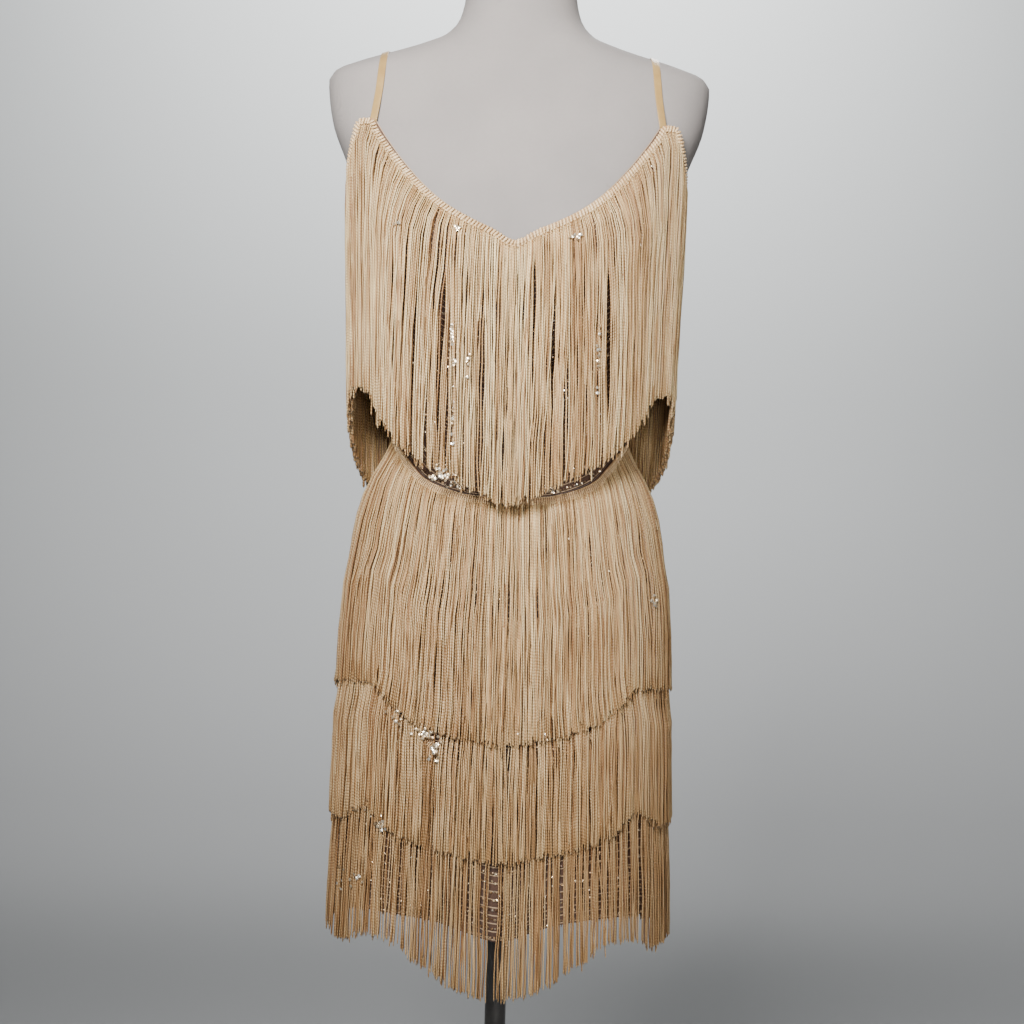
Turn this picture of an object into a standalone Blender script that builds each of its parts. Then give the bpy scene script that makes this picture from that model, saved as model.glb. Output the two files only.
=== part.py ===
# Sequin fringe dress on a limbless dress form, which stands on a pole and a round foot.
# Metres. The floor is z = 0, the dress faces -Y, and +X is at the right of the front view.
# A bearing is an angle round the dress in degrees: 0 at centre front, 90 at the +X side seam,
# 180 at centre back and -90 at the -X side seam.

import bisect
import math
from collections import namedtuple

import bmesh
import bpy
from mathutils import Vector

COLLECTION_NAME = "sequin_fringe_dress"

# Stand
BASE_RADIUS = 0.170
BASE_THICKNESS = 0.010
BASE_EDGE_ROUNDING = 0.003
BASE_SIDES = 32
POLE_RADIUS = 0.011
POLE_SIDES = 12
SEAT_GAP = 0.0003

# Form
FORM_BOTTOM = 0.690
FORM_TOP = 1.500
FORM_EDGE_HEIGHT = 0.012
FORM_EDGE_INSET = 0.010
FORM_EDGE_ROWS = ((0.0, 1.0), (0.25, 0.35), (1.0, 0.0))  # shares of the edge's height and inset
FORM_ROW_HEIGHTS = (
    0.740, 0.790, 0.840, 0.890, 0.920, 0.945, 0.967, 0.990, 1.015, 1.040, 1.090, 1.140, 1.190,
    1.240, 1.280, 1.320, 1.350, 1.365, 1.375, 1.385, 1.395, 1.405, 1.417, 1.435, 1.460,
)

# Cloth
CLOTH_OUTSET = 0.0033
CLOTH_THICKNESS = 0.0018
SEAM_GAP = 0.0003
WAIST_GAP = 0.0008
CLOTH_EDGE_ROW = 0.010
BODICE_ROWS = 11
BODICE_ROW_CROWDING = 1.0
SKIRT_ROWS = 13
SKIRT_ROW_CROWDING = 1.4

# Straps
STRAP_WIDTH = 0.008
STRAP_THICKNESS = 0.0012
STRAP_LIFT = 0.0022
STRAP_STEPS = 24
STRAP_FRONT_BEARING = 63.5
STRAP_BACK_BEARING = 130.0
STRAP_END_GAP = 0.0009
STRAP_END_SHARE = 0.2
STRAP_RISE_SHARE = 0.25
STRAP_BACK_TAPER = 1.6
SHOULDER_CORE_HEIGHT = 1.285
SHOULDER_CORE_SPREAD = 0.136
SHOULDER_REACH = 0.3
SHOULDER_HALVINGS = 40
NORMAL_STEP = 0.002

# Fringe
HEADER_HEIGHT = 0.008
HEADER_CLEARANCE = 0.0014
FRINGE_THICKNESS = 0.0024
LAYER_PITCH = 0.0038
LAYER_LEAD = 0.008
LAYER_STAGGER = 0.016
STRAND_SHARE = 0.62
PATH_STEP = 0.012
PATH_TOLERANCE = 0.0007

# The bust, as one soft mound on each side of the centre front
BUST_HEIGHT = 1.190
BUST_BEARING = 33.0
BUST_RISE = 0.010
BUST_HEIGHT_SPREAD = 0.055
BUST_BEARING_SPREAD = 21.0

# Corners sharper than these are shaded as edges, and rounded on the foot plate
SHARP_ANGLE = 50.0
ROUNDED_ANGLE = 60.0

# Columns of every ring, from the centre front to the centre back of one side
HALF_BEARINGS = (
    0.0, 10.0, 20.0, 30.0, 40.0, 50.0, 56.0, 62.0, 65.0, 70.0, 78.0, 90.0,
    98.0, 107.0, 117.0, 127.6, 132.4, 142.0, 154.0, 167.0, 180.0,
)

# Plan sections of the figure inside the cloth, from below the hem to the neck
Section = namedtuple("Section", "height half_width front_depth back_depth power")
FIGURE = (
    Section(0.430, 0.1700, 0.1210, 0.1340, 2.25),
    Section(0.530, 0.1682, 0.1190, 0.1330, 2.25),
    Section(0.617, 0.1640, 0.1165, 0.1315, 2.25),
    Section(0.690, 0.1622, 0.1150, 0.1300, 2.25),
    Section(0.740, 0.1605, 0.1135, 0.1285, 2.25),
    Section(0.790, 0.1590, 0.1125, 0.1270, 2.25),
    Section(0.840, 0.1552, 0.1095, 0.1215, 2.25),
    Section(0.890, 0.1512, 0.1040, 0.1095, 2.20),
    Section(0.940, 0.1390, 0.0965, 0.0940, 2.20),
    Section(0.990, 0.1155, 0.0915, 0.0825, 2.20),
    Section(1.040, 0.1200, 0.0960, 0.0850, 2.20),
    Section(1.090, 0.1330, 0.1060, 0.0920, 2.25),
    Section(1.140, 0.1460, 0.1140, 0.0970, 2.35),
    Section(1.190, 0.1580, 0.1200, 0.1000, 2.45),
    Section(1.240, 0.1660, 0.1125, 0.1010, 2.50),
    Section(1.280, 0.1785, 0.1020, 0.1010, 2.60),
    Section(1.320, 0.1935, 0.0880, 0.0980, 2.80),
    Section(1.350, 0.1985, 0.0770, 0.0880, 2.90),
    Section(1.365, 0.1995, 0.0710, 0.0810, 2.90),
    Section(1.375, 0.1945, 0.0675, 0.0760, 2.80),
    Section(1.385, 0.1720, 0.0640, 0.0710, 2.60),
    Section(1.395, 0.1400, 0.0610, 0.0670, 2.40),
    Section(1.405, 0.1090, 0.0590, 0.0640, 2.20),
    Section(1.417, 0.0800, 0.0580, 0.0620, 2.10),
    Section(1.435, 0.0645, 0.0570, 0.0600, 2.00),
    Section(1.460, 0.0585, 0.0565, 0.0580, 2.00),
    Section(1.500, 0.0565, 0.0560, 0.0560, 2.00),
)

# Lower edge of the skirt cloth
Edge = namedtuple("Edge", "bearing height")
HEM = (
    Edge(0.0, 0.495), Edge(14.0, 0.503), Edge(27.0, 0.512), Edge(42.0, 0.516), Edge(60.0, 0.517),
    Edge(72.0, 0.509), Edge(90.0, 0.508), Edge(120.0, 0.512), Edge(150.0, 0.508), Edge(180.0, 0.500),
)

# Each swag of fringe: the top of its header and the cut ends of its strands
Swag = namedtuple("Swag", "bearing header ends")
NECK_SWAG = (
    Swag(0.0, 1.188, 0.925), Swag(10.0, 1.199, 0.933), Swag(20.0, 1.210, 0.946),
    Swag(30.0, 1.2243, 0.960), Swag(40.0, 1.2435, 0.975), Swag(50.0, 1.2690, 0.998),
    Swag(56.0, 1.289, 1.015), Swag(59.5, 1.303, 1.028), Swag(62.0, 1.315, 1.036),
    Swag(65.0, 1.315, 1.041), Swag(67.5, 1.299, 1.041), Swag(70.0, 1.2855, 1.038),
    Swag(73.0, 1.2735, 1.030), Swag(78.0, 1.2585, 1.014), Swag(90.0, 1.245, 0.985),
    Swag(107.0, 1.212, 0.945), Swag(127.6, 1.180, 0.920), Swag(132.4, 1.180, 0.919), Swag(150.0, 1.172, 0.914),
    Swag(180.0, 1.167, 0.909),
)
WAIST_SWAG = (
    Swag(0.0, 0.934, 0.689), Swag(20.0, 0.936, 0.696), Swag(30.0, 0.940, 0.702),
    Swag(37.0, 0.9445, 0.709), Swag(45.0, 0.952, 0.723), Swag(57.0, 0.970, 0.744),
    Swag(75.0, 0.990, 0.743), Swag(90.0, 0.997, 0.738), Swag(108.0, 0.985, 0.737),
    Swag(130.0, 0.962, 0.722), Swag(155.0, 0.945, 0.706), Swag(180.0, 0.940, 0.700),
)
HIP_SWAG = (
    Swag(0.0, 0.811, 0.573), Swag(20.0, 0.817, 0.580), Swag(38.0, 0.829, 0.590),
    Swag(46.0, 0.839, 0.600), Swag(57.0, 0.856, 0.620), Swag(70.0, 0.850, 0.603),
    Swag(90.0, 0.848, 0.606), Swag(110.0, 0.844, 0.604), Swag(140.0, 0.829, 0.590),
    Swag(180.0, 0.820, 0.582),
)
HEM_SWAG = (
    Swag(0.0, 0.663, 0.438), Swag(19.0, 0.672, 0.448), Swag(28.0, 0.686, 0.463),
    Swag(36.0, 0.699, 0.475), Swag(46.0, 0.714, 0.491), Swag(57.0, 0.716, 0.492),
    Swag(66.0, 0.709, 0.481), Swag(90.0, 0.712, 0.488), Swag(110.0, 0.708, 0.484),
    Swag(140.0, 0.691, 0.466), Swag(180.0, 0.674, 0.448),
)

# Tiers of fringe from the top down: the name of the node, its swag, its number of strands and how far
# they lean in at the sides for each metre that they hang
Tier = namedtuple("Tier", "node swag strands side_lean")
TIERS = (
    Tier("fringe_neck", NECK_SWAG, 56, 0.038),
    Tier("fringe_waist", WAIST_SWAG, 48, 0.0),
    Tier("fringe_hip", HIP_SWAG, 48, 0.0),
    Tier("fringe_hem", HEM_SWAG, 48, 0.0),
)

# Colours are linear RGB
Finish = namedtuple("Finish", "color roughness metallic")
FINISHES = {
    "form_linen": Finish((0.45, 0.42, 0.41), 0.85, 0.0),
    "dark_metal": Finish((0.035, 0.035, 0.04), 0.40, 0.8),
    "sequin_mesh": Finish((0.42, 0.29, 0.18), 0.45, 0.2),
    "strap_satin": Finish((0.78, 0.66, 0.46), 0.45, 0.0),
    "fringe_yarn": Finish((0.68, 0.52, 0.36), 0.55, 0.0),
}


def table_value(table, column, position):
    """Read one column of a table at a position of its first column, on a smooth monotone curve."""
    places = [row[0] for row in table]
    values = [getattr(row, column) for row in table]
    position = min(max(position, places[0]), places[-1])
    index = min(max(bisect.bisect_right(places, position) - 1, 0), len(places) - 2)
    span = places[index + 1] - places[index]
    part = (position - places[index]) / span

    def slope(knot):
        if knot <= 0 or knot >= len(places) - 1:
            return 0.0
        before = (values[knot] - values[knot - 1]) / (places[knot] - places[knot - 1])
        after = (values[knot + 1] - values[knot]) / (places[knot + 1] - places[knot])
        if before * after <= 0.0:
            return 0.0
        return 2.0 * before * after / (before + after)

    rest = 1.0 - part
    return (
        (1.0 + 2.0 * part) * rest * rest * values[index]
        + part * rest * rest * span * slope(index)
        + part * part * (3.0 - 2.0 * part) * values[index + 1]
        - part * part * rest * span * slope(index + 1)
    )


def bust_rise(bearing, height):
    """Return how far the bust stands out from the plain section."""
    across = (abs(bearing) - BUST_BEARING) / BUST_BEARING_SPREAD
    along = (height - BUST_HEIGHT) / BUST_HEIGHT_SPREAD
    return BUST_RISE * math.exp(-across * across - along * along)


def figure_radius(bearing, height, outset=0.0):
    """Return the distance from the upright axis to the figure, moved out by an outset."""
    angle = math.radians(bearing)
    depth_column = "front_depth" if abs(bearing) < 90.0 else "back_depth"
    half_width = table_value(FIGURE, "half_width", height) + outset
    depth = table_value(FIGURE, depth_column, height) + outset
    power = table_value(FIGURE, "power", height)
    across = abs(math.sin(angle)) / half_width
    along = abs(math.cos(angle)) / depth
    return (across ** power + along ** power) ** (-1.0 / power) + bust_rise(bearing, height)


def ring_point(bearing, height, radius):
    """Return the point at a bearing and a radius."""
    angle = math.radians(bearing)
    return Vector((radius * math.sin(angle), -radius * math.cos(angle), height))


def wrapped_bearing(bearing):
    """Return the same bearing between -180 and 180."""
    return (bearing + 180.0) % 360.0 - 180.0


def swag_height(swag, column, bearing):
    """Read a swag, which is the same on both sides, at any bearing."""
    return table_value(swag, column, abs(wrapped_bearing(bearing)))


def make_material(name):
    """Make the Principled material of one finish."""
    finish = FINISHES[name]
    material = bpy.data.materials.new(name)
    material.use_nodes = True
    shader = material.node_tree.nodes["Principled BSDF"]
    shader.inputs["Base Color"].default_value = (*finish.color, 1.0)
    shader.inputs["Roughness"].default_value = finish.roughness
    shader.inputs["Metallic"].default_value = finish.metallic
    return material


def add_object(name, mesh, finish, collection):
    """Put a mesh in the dress's collection as one shaded sub-part."""
    mesh.materials.append(make_material(finish))
    mesh.shade_smooth()
    mesh.set_sharp_from_angle(angle=math.radians(SHARP_ANGLE))
    sub_part = bpy.data.objects.new(name, mesh)
    collection.objects.link(sub_part)
    return sub_part


def add_thickness(sub_part, thickness):
    """Give an open surface its thickness, outward from the face that was modelled."""
    solidify = sub_part.modifiers.new("thickness", "SOLIDIFY")
    solidify.thickness = thickness
    solidify.offset = 1.0
    solidify.use_even_offset = True
    solidify.use_quality_normals = True
    return solidify


def full_ring_bearings():
    """Return the columns of a whole ring, from just past the centre back round to it."""
    left = [-bearing for bearing in reversed(HALF_BEARINGS[1:-1])]
    return left + list(HALF_BEARINGS)


def make_torso(collection):
    """Make the form: rings from the flat bottom to the flat neck, closed at both ends."""
    bearings = full_ring_bearings()
    rows = [
        (FORM_BOTTOM + FORM_EDGE_HEIGHT * height_share, -FORM_EDGE_INSET * inset_share)
        for height_share, inset_share in FORM_EDGE_ROWS
    ]
    rows.extend((height, 0.0) for height in FORM_ROW_HEIGHTS)
    rows.append((FORM_TOP, 0.0))

    shape = bmesh.new()
    rings = []
    for height, outset in rows:
        ring = []
        for bearing in bearings:
            radius = figure_radius(bearing, height, outset)
            ring.append(shape.verts.new(ring_point(bearing, height, radius)))
        rings.append(ring)
    count = len(bearings)
    for lower, upper in zip(rings, rings[1:]):
        for column in range(count):
            following = (column + 1) % count
            shape.faces.new((lower[column], lower[following], upper[following], upper[column]))
    shape.faces.new(list(reversed(rings[0])))
    shape.faces.new(rings[-1])

    mesh = bpy.data.meshes.new("form_torso")
    shape.to_mesh(mesh)
    shape.free()
    return add_object("form_torso", mesh, "form_linen", collection)


def make_panel(name, bearings, top, bottom, row_count, crowding, collection):
    """Make one cloth panel as an open surface between two edges, with its thickness.

    The first row below the top edge follows the foot of the header that is sewn on there, and a
    crowding over 1 sets the other rows closer together near the top.
    """
    shape = bmesh.new()
    grid = []
    for row_number in range(row_count + 1):
        row = []
        for bearing in bearings:
            height = top(bearing)
            if row_number > 0:
                share = ((row_number - 1) / (row_count - 1)) ** crowding
                edge_row = height - CLOTH_EDGE_ROW
                height = edge_row + (bottom(bearing) - edge_row) * share
            radius = figure_radius(bearing, height, CLOTH_OUTSET)
            row.append(shape.verts.new(ring_point(bearing, height, radius)))
        grid.append(row)
    for upper_row, lower_row in zip(grid, grid[1:]):
        for column in range(len(bearings) - 1):
            following = column + 1
            shape.faces.new(
                (lower_row[column], lower_row[following], upper_row[following], upper_row[column])
            )
    mesh = bpy.data.meshes.new(name)
    shape.to_mesh(mesh)
    shape.free()
    panel = add_object(name, mesh, "sequin_mesh", collection)
    add_thickness(panel, CLOTH_THICKNESS)
    return panel


def front_and_back_bearings():
    """Split the ring at the side seams, each panel held back by half of the seam gap."""
    side_radius = figure_radius(90.0, BUST_HEIGHT)
    inset = math.degrees(SEAM_GAP / side_radius)
    inner = [bearing for bearing in HALF_BEARINGS if bearing < 90.0]
    front = [-bearing for bearing in reversed(inner[1:])] + inner
    front = [-90.0 + inset] + front + [90.0 - inset]
    outer = [bearing for bearing in HALF_BEARINGS if bearing > 90.0]
    back = outer + [360.0 - bearing for bearing in reversed(outer[:-1])]
    back = [90.0 + inset] + back + [270.0 - inset]
    return front, back


def neckline(bearing):
    """Return the top edge of the bodice."""
    return swag_height(NECK_SWAG, "header", bearing)


def waist_seam(bearing):
    """Return the seam between the bodice and the skirt."""
    return swag_height(WAIST_SWAG, "header", bearing)


def hem_line(bearing):
    """Return the lower edge of the skirt cloth."""
    return table_value(HEM, "height", abs(wrapped_bearing(bearing)))


def make_cloth(collection):
    """Make the four cloth panels, parted at the side seams and at the waist."""
    front, back = front_and_back_bearings()
    back = [wrapped_bearing(bearing) for bearing in back]
    for side, bearings in (("front", front), ("back", back)):
        make_panel(
            "bodice_" + side, bearings, neckline,
            lambda bearing: waist_seam(bearing) + WAIST_GAP,
            BODICE_ROWS, BODICE_ROW_CROWDING, collection,
        )
        make_panel(
            "skirt_" + side, bearings, waist_seam, hem_line,
            SKIRT_ROWS, SKIRT_ROW_CROWDING, collection,
        )


def figure_normal(point):
    """Return the outward direction of the figure at a point on it."""

    def clearance(place):
        bearing = math.degrees(math.atan2(place.x, -place.y))
        return math.hypot(place.x, place.y) - figure_radius(bearing, place.z)

    gradient = Vector()
    for axis in range(3):
        shift = Vector()
        shift[axis] = NORMAL_STEP
        gradient[axis] = clearance(point + shift) - clearance(point - shift)
    return gradient.normalized()


def shoulder_point(spread, angle):
    """Find where a ray from the shoulder's core, in the upright plane x = spread, leaves the figure."""
    direction = Vector((0.0, -math.cos(angle), math.sin(angle)))
    core = Vector((spread, 0.0, SHOULDER_CORE_HEIGHT))
    inside = 0.0
    outside = SHOULDER_REACH
    for _ in range(SHOULDER_HALVINGS):
        middle = 0.5 * (inside + outside)
        place = core + direction * middle
        bearing = math.degrees(math.atan2(place.x, -place.y))
        if math.hypot(place.x, place.y) < figure_radius(bearing, place.z):
            inside = middle
        else:
            outside = middle
    return core + direction * inside


def strap_route(side):
    """Return the points of one strap from its front end over the shoulder to its back end."""
    ends = []
    for bearing in (STRAP_FRONT_BEARING, STRAP_BACK_BEARING):
        height = neckline(bearing) + STRAP_END_GAP
        radius = figure_radius(bearing, height)
        ends.append(ring_point(bearing, height, radius))
    angles = [math.atan2(end.z - SHOULDER_CORE_HEIGHT, -end.y) for end in ends]
    if angles[1] < 0.0:
        angles[1] += 2.0 * math.pi
    route = []
    for step in range(STRAP_STEPS + 1):
        share = step / STRAP_STEPS
        angle = angles[0] + (angles[1] - angles[0]) * share
        rise = min(1.0, share / STRAP_RISE_SHARE, (1.0 - share) / STRAP_RISE_SHARE)
        taper = max(0.0, 1.0 - STRAP_BACK_TAPER * share)
        end_spread = ends[0].x + (ends[1].x - ends[0].x) * share ** 2
        spread = end_spread + (SHOULDER_CORE_SPREAD - end_spread) * rise * taper
        route.append(shoulder_point(spread, angle))
    if side < 0:
        route = [Vector((-point.x, point.y, point.z)) for point in route]
    return route


def make_strap(name, side, collection):
    """Make one flat strap that lies on the shoulder and meets the bodice end to end."""
    route = strap_route(side)
    last = len(route) - 1
    shape = bmesh.new()
    rungs = []
    for index, point in enumerate(route):
        before = route[max(index - 1, 0)]
        after = route[min(index + 1, last)]
        along = (after - before).normalized()
        normal = figure_normal(point)
        across = along.cross(normal).normalized() * (STRAP_WIDTH / 2.0)
        from_end = min(index, last - index) / last
        lift = max(STRAP_LIFT, CLOTH_OUTSET * (1.0 - from_end / STRAP_END_SHARE))
        middle = point + normal * lift
        if index in (0, last):
            across.z = 0.0
        rungs.append((shape.verts.new(middle - across), shape.verts.new(middle + across)))
    for lower, upper in zip(rungs, rungs[1:]):
        shape.faces.new((lower[0], lower[1], upper[1], upper[0]))
    mesh = bpy.data.meshes.new(name)
    shape.to_mesh(mesh)
    shape.free()
    strap = add_object(name, mesh, "strap_satin", collection)
    add_thickness(strap, STRAP_THICKNESS)
    return strap


def lower_headers(tier_index, bearing):
    """Return the heights below which one tier hangs over each tier under it, outer tiers first."""
    crossings = []
    for tiers_between, tier in enumerate(TIERS[tier_index + 1:]):
        header = swag_height(tier.swag, "header", bearing)
        crossings.append(header + LAYER_LEAD + LAYER_STAGGER * tiers_between)
    return crossings


def strand_path(tier_index, bearing):
    """Return heights and radii down one strand, which falls from the widest place above it and leans in."""
    tier = TIERS[tier_index]
    header_foot = swag_height(tier.swag, "header", bearing) - HEADER_HEIGHT
    ends = swag_height(tier.swag, "ends", bearing)
    crossings = [height for height in lower_headers(tier_index, bearing) if ends < height < header_foot]
    steps = max(2, round((header_foot - ends) / PATH_STEP))
    heights = {header_foot - (header_foot - ends) * step / steps for step in range(steps + 1)}
    heights.update(crossings)

    lean = tier.side_lean * math.sin(math.radians(bearing)) ** 2
    path = []
    widest = 0.0
    for height in sorted(heights, reverse=True):
        layer = sum(1 for crossing in crossings if height <= crossing)
        outset = CLOTH_OUTSET + CLOTH_THICKNESS + HEADER_CLEARANCE + layer * LAYER_PITCH
        nearest = figure_radius(bearing, height, outset)
        widest = max(widest, nearest)
        path.append((height, max(nearest, widest - lean * (header_foot - height))))
    return path


def kept_heights(path):
    """Drop the places of a path that lie on a straight line between those that are kept."""
    if len(path) < 3:
        return [path[0][0], path[-1][0]]
    top, bottom = path[0], path[-1]
    worst_index = 0
    worst = PATH_TOLERANCE
    for index, (height, radius) in enumerate(path[1:-1], start=1):
        share = (top[0] - height) / (top[0] - bottom[0])
        straight = top[1] + (bottom[1] - top[1]) * share
        if abs(radius - straight) > worst:
            worst = abs(radius - straight)
            worst_index = index
    if worst_index == 0:
        return [top[0], bottom[0]]
    return kept_heights(path[:worst_index + 1])[:-1] + kept_heights(path[worst_index:])


def radius_on_path(path, height):
    """Read a path's radius at a height."""
    for (upper, upper_radius), (lower, lower_radius) in zip(path, path[1:]):
        if height >= lower:
            share = (upper - height) / (upper - lower)
            return upper_radius + (lower_radius - upper_radius) * min(max(share, 0.0), 1.0)
    return path[-1][1]


def make_fringe(tier_index, collection):
    """Make one tier: a header band all round, with strands that hang from its lower edge."""
    tier = TIERS[tier_index]
    pitch = 360.0 / tier.strands
    half_width = pitch * STRAND_SHARE / 2.0
    header_outset = CLOTH_OUTSET + CLOTH_THICKNESS + HEADER_CLEARANCE

    shape = bmesh.new()
    band = []
    for strand in range(tier.strands):
        middle = -180.0 + pitch * (strand + 0.5)
        for bearing in (middle - half_width, middle + half_width):
            top = swag_height(tier.swag, "header", bearing)
            foot = top - HEADER_HEIGHT
            top_vertex = shape.verts.new(
                ring_point(bearing, top, figure_radius(bearing, top, header_outset))
            )
            foot_vertex = shape.verts.new(
                ring_point(bearing, foot, figure_radius(bearing, foot, header_outset))
            )
            band.append((top_vertex, foot_vertex))
    count = len(band)
    for column in range(count):
        top_here, foot_here = band[column]
        top_next, foot_next = band[(column + 1) % count]
        shape.faces.new((foot_here, foot_next, top_next, top_here))

    for strand in range(tier.strands):
        middle = -180.0 + pitch * (strand + 0.5)
        path = strand_path(tier_index, middle)
        heights = kept_heights(path)
        upper = (band[2 * strand][1], band[2 * strand + 1][1])
        foot_heights = [vertex.co.z for vertex in upper]
        for height in heights[1:]:
            share = (heights[0] - height) / (heights[0] - heights[-1])
            lower = []
            for side, bearing in enumerate((middle - half_width, middle + half_width)):
                edge_height = height + (foot_heights[side] - heights[0]) * (1.0 - share)
                radius = radius_on_path(path, height)
                edge_shift = figure_radius(bearing, height) - figure_radius(middle, height)
                lower.append(shape.verts.new(ring_point(bearing, edge_height, radius + edge_shift)))
            shape.faces.new((lower[0], lower[1], upper[1], upper[0]))
            upper = tuple(lower)

    mesh = bpy.data.meshes.new(tier.node)
    shape.to_mesh(mesh)
    shape.free()
    fringe = add_object(tier.node, mesh, "fringe_yarn", collection)
    add_thickness(fringe, FRINGE_THICKNESS)
    return fringe


def make_stand(collection):
    """Make the round foot plate and the pole that carries the form."""
    base_shape = bmesh.new()
    bmesh.ops.create_cone(
        base_shape, cap_ends=True, segments=BASE_SIDES, radius1=BASE_RADIUS, radius2=BASE_RADIUS,
        depth=BASE_THICKNESS,
    )
    bmesh.ops.translate(base_shape, verts=base_shape.verts, vec=(0.0, 0.0, BASE_THICKNESS / 2.0))
    base_mesh = bpy.data.meshes.new("stand_base")
    base_shape.to_mesh(base_mesh)
    base_shape.free()
    base = add_object("stand_base", base_mesh, "dark_metal", collection)
    rounding = base.modifiers.new("rounded_edge", "BEVEL")
    rounding.width = BASE_EDGE_ROUNDING
    rounding.segments = 1
    rounding.limit_method = "ANGLE"
    rounding.angle_limit = math.radians(ROUNDED_ANGLE)

    pole_foot = BASE_THICKNESS + SEAT_GAP
    pole_length = FORM_BOTTOM - SEAT_GAP - pole_foot
    pole_shape = bmesh.new()
    bmesh.ops.create_cone(
        pole_shape, cap_ends=True, segments=POLE_SIDES, radius1=POLE_RADIUS, radius2=POLE_RADIUS,
        depth=pole_length,
    )
    bmesh.ops.translate(
        pole_shape, verts=pole_shape.verts, vec=(0.0, 0.0, pole_foot + pole_length / 2.0)
    )
    pole_mesh = bpy.data.meshes.new("stand_pole")
    pole_shape.to_mesh(pole_mesh)
    pole_shape.free()
    add_object("stand_pole", pole_mesh, "dark_metal", collection)


def main():
    for existing in list(bpy.data.objects):
        bpy.data.objects.remove(existing, do_unlink=True)
    collection = bpy.data.collections.new(COLLECTION_NAME)
    bpy.context.scene.collection.children.link(collection)

    make_stand(collection)
    make_torso(collection)
    make_cloth(collection)
    make_strap("strap_left", -1, collection)
    make_strap("strap_right", 1, collection)
    for tier_index in range(len(TIERS)):
        make_fringe(tier_index, collection)


main()
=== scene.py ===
import math
from functools import partial

import bpy
import numpy as np
from mathutils import Euler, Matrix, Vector
from mathutils.bvhtree import BVHTree


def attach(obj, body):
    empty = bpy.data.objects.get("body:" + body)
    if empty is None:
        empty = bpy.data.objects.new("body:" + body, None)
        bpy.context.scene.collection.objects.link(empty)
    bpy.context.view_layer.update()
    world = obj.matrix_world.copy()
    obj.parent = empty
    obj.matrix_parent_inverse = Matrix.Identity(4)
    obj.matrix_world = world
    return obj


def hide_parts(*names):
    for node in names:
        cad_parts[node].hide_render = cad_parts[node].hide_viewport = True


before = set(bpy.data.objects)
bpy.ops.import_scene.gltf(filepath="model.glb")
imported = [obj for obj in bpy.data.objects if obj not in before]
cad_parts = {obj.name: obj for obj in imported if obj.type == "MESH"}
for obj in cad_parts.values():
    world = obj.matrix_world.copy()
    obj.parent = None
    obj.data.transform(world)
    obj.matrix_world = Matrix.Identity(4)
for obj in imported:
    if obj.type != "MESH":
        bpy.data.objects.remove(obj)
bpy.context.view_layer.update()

# The dress faces -Y. A bearing goes round it in degrees: 0 at centre front, 90 at the +X side seam.
print("frame loaded,", len(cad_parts), "nodes")


# shape of the figure under the cloth: height, half width, front depth, back depth, squareness
figure = {
    "sections": [
        (0.430, 0.1700, 0.1210, 0.1340, 2.25), (0.530, 0.1682, 0.1190, 0.1330, 2.25),
        (0.617, 0.1640, 0.1165, 0.1315, 2.25), (0.690, 0.1622, 0.1150, 0.1300, 2.25),
        (0.740, 0.1605, 0.1135, 0.1285, 2.25), (0.790, 0.1590, 0.1125, 0.1270, 2.25),
        (0.840, 0.1552, 0.1095, 0.1215, 2.25), (0.890, 0.1512, 0.1040, 0.1095, 2.20),
        (0.940, 0.1390, 0.0965, 0.0940, 2.20), (0.990, 0.1155, 0.0915, 0.0825, 2.20),
        (1.040, 0.1200, 0.0960, 0.0850, 2.20), (1.090, 0.1330, 0.1060, 0.0920, 2.25),
        (1.140, 0.1460, 0.1140, 0.0970, 2.35), (1.190, 0.1580, 0.1200, 0.1000, 2.45),
        (1.240, 0.1660, 0.1125, 0.1010, 2.50), (1.280, 0.1785, 0.1020, 0.1010, 2.60),
        (1.320, 0.1935, 0.0880, 0.0980, 2.80), (1.350, 0.1985, 0.0770, 0.0880, 2.90),
        (1.365, 0.1995, 0.0710, 0.0810, 2.90), (1.375, 0.1945, 0.0675, 0.0760, 2.80),
        (1.385, 0.1720, 0.0640, 0.0710, 2.60), (1.395, 0.1400, 0.0610, 0.0670, 2.40),
        (1.405, 0.1090, 0.0590, 0.0640, 2.20), (1.417, 0.0800, 0.0580, 0.0620, 2.10),
        (1.435, 0.0645, 0.0570, 0.0600, 2.00), (1.460, 0.0585, 0.0565, 0.0580, 2.00),
        (1.500, 0.0565, 0.0560, 0.0560, 2.00),
    ],
    "bustHeight": 1.190, "bustBearing": 33.0, "bustRise": 0.010,
    "bustTall": 0.055, "bustWide": 21.0,
}

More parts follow.
